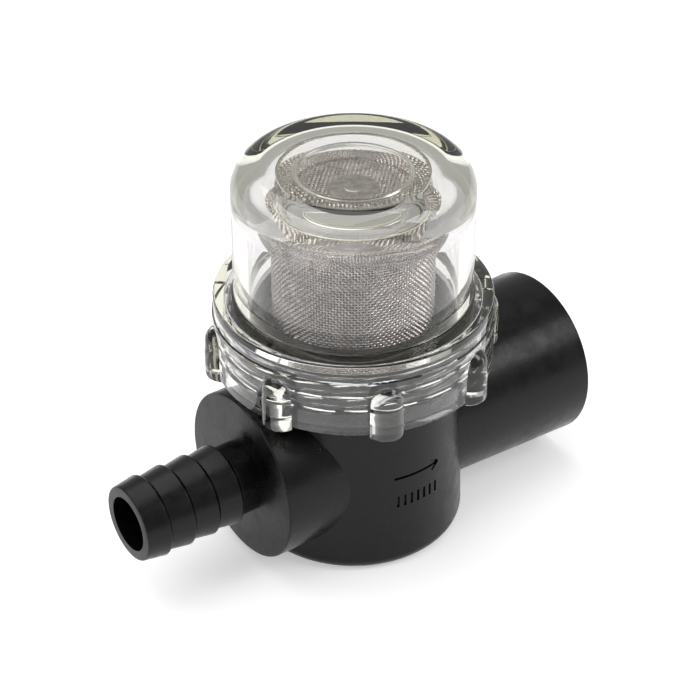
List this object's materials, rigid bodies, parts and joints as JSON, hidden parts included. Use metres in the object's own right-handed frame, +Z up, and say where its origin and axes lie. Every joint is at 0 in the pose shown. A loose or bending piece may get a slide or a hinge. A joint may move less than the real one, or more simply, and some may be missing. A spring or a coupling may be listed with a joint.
{
  "type": "sea water strainer",
  "caption": "Inline pump strainer: black housing with hose barb and threaded socket, clear screw-on bowl with grip lugs over a woven steel screen.",
  "frame": {"origin": "on the bowl's axis, at the housing's flat base", "axes": "+Z up along the bowl, +X along the ports from the hose barb towards the threaded outlet socket, -Y towards the flow arrow"},
  "size_m": [0.0899, 0.0492, 0.0723],
  "materials": {
    "housing_plastic": "satin black moulded plastic",
    "bowl_clear": "clear polished plastic with a faint warm tint",
    "ring_rubber": "black rubber",
    "screen_mesh": "woven stainless wire",
    "screen_metal": "folded stainless strip"
  },
  "bodies": {
    "housing": {"housing": "housing_plastic", "inlet_barb": "housing_plastic", "screen_sleeve": "screen_mesh", "screen_end": "screen_mesh", "screen_rim": "screen_metal"},
    "ring": {"bowl_ring": "ring_rubber"},
    "bowl": {"bowl": "bowl_clear"}
  },
  "joints": [
    {"name": "bowl_rise", "type": "slide", "parent": "housing", "child": "ring", "axis": [0, 0, 1], "range_m": [0, 0.007]},
    {"name": "bowl_turn", "type": "hinge", "parent": "ring", "child": "bowl", "pos_m": [0, 0, 0.0335], "axis": [0, 0, 1], "range_deg": [0, 900]}
  ],
  "couplings": [
    {"joint": "bowl_rise", "follows": "bowl_turn", "m_per_rad": 0.00044563}
  ]
}
